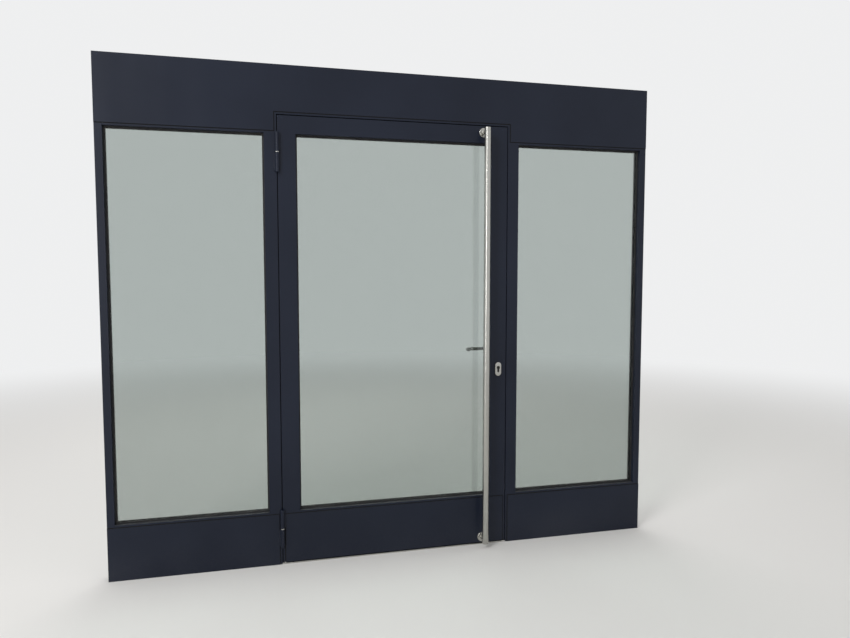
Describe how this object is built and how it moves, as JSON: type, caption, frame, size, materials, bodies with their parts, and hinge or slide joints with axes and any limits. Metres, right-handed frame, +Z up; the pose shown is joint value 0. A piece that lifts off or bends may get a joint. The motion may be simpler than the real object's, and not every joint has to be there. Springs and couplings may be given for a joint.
{
  "type": "glazed steel entrance door with two sidelights",
  "caption": "Outward opening glazed steel entrance door between fixed glass sidelights, with a full-height pull bar, cylinder lock, inside lever and weld-on hinges.",
  "frame": {"origin": "middle of the set's width at mid-depth of the profiles, on the floor", "axes": "+X to the right seen from outside, +Y from the outside face to the inside face, +Z up"},
  "size_m": [2.84, 0.212, 2.489],
  "materials": {
    "paint": "semi-gloss dark slate paint",
    "glass": "clear float glass, slightly green",
    "gasket": "matt black",
    "spacer": "mill",
    "board": "raw board",
    "block": "matt",
    "stainless": "satin",
    "zinc_steel": "zinc plated",
    "nickel": "satin, blackened"
  },
  "bodies": {
    "frame": {"left_jamb": "paint", "right_jamb": "paint", "frame_head": "paint", "hinge_mullion": "paint", "lock_mullion": "paint", "door_transom": "paint", "left_transom": "paint", "right_transom": "paint", "sill_rails": "paint", "base_rails": "paint", "threshold": "stainless", "frame_cores": "board", "header_sheet_outer": "paint", "header_sheet_inner": "paint", "kick_sheets_outer": "paint", "kick_sheets_inner": "paint", "left_glass": "glass", "right_glass": "glass", "sidelight_spacers": "spacer", "sidelight_gaskets": "gasket", "sidelight_beads": "paint", "sidelight_blocks": "block", "frame_seal": "gasket", "strike_keep": "stainless", "keep_screws": "zinc_steel", "frame_knuckles": "paint", "hinge_pins": "zinc_steel", "hinge_washers": "stainless"},
    "leaf": {"leaf_knuckles": "paint", "hinge_stile": "paint", "lock_stile": "paint", "leaf_top_rail": "paint", "leaf_glass_rail": "paint", "leaf_bottom_rail": "paint", "leaf_kick_core": "board", "leaf_kick_sheet_outer": "paint", "leaf_kick_sheet_inner": "paint", "leaf_glass": "glass", "leaf_spacer": "spacer", "leaf_gaskets": "gasket", "leaf_beads": "paint", "leaf_blocks": "block", "bottom_seal": "gasket", "pull_bar": "stainless", "bar_caps": "stainless", "bar_rosettes": "stainless", "lock_case": "zinc_steel", "lock_faceplate": "stainless", "lock_tabs": "zinc_steel", "lock_screws": "zinc_steel", "cylinder_housing": "nickel", "cylinder_plates": "stainless", "lever_plate": "stainless"},
    "lever": {"inside_lever": "stainless", "follower": "zinc_steel", "spindle": "zinc_steel"},
    "latch": {"latch_bolt": "zinc_steel"},
    "dead": {"dead_bolt": "zinc_steel"},
    "plug": {"cylinder_plug": "nickel"}
  },
  "joints": [
    {"name": "leaf_swing", "type": "hinge", "parent": "frame", "child": "leaf", "pos_m": [-0.599, -0.0455, 0], "axis": [0, 0, -1], "range_deg": [0, 100]},
    {"name": "lever_turn", "type": "hinge", "parent": "leaf", "child": "lever", "pos_m": [0.552, 0.06, 1.062], "axis": [0, -1, 0], "range_deg": [0, 40], "stiffness_Nm_per_rad": 1.5, "springref_deg": -25.78},
    {"name": "latch_slide", "type": "slide", "parent": "leaf", "child": "latch", "axis": [-1, 0, 0], "range_m": [0, 0.012]},
    {"name": "key_turn", "type": "hinge", "parent": "leaf", "child": "plug", "pos_m": [0.552, 0, 0.97], "axis": [0, 1, 0], "range_deg": [0, 360]},
    {"name": "dead_slide", "type": "slide", "parent": "leaf", "child": "dead", "axis": [1, 0, 0], "range_m": [0, 0.02]}
  ],
  "couplings": [
    {"joint": "latch_slide", "follows": "lever_turn", "m_per_rad": 0.01718},
    {"joint": "key_turn", "follows": "dead_slide", "rad_per_m": 314.15}
  ]
}
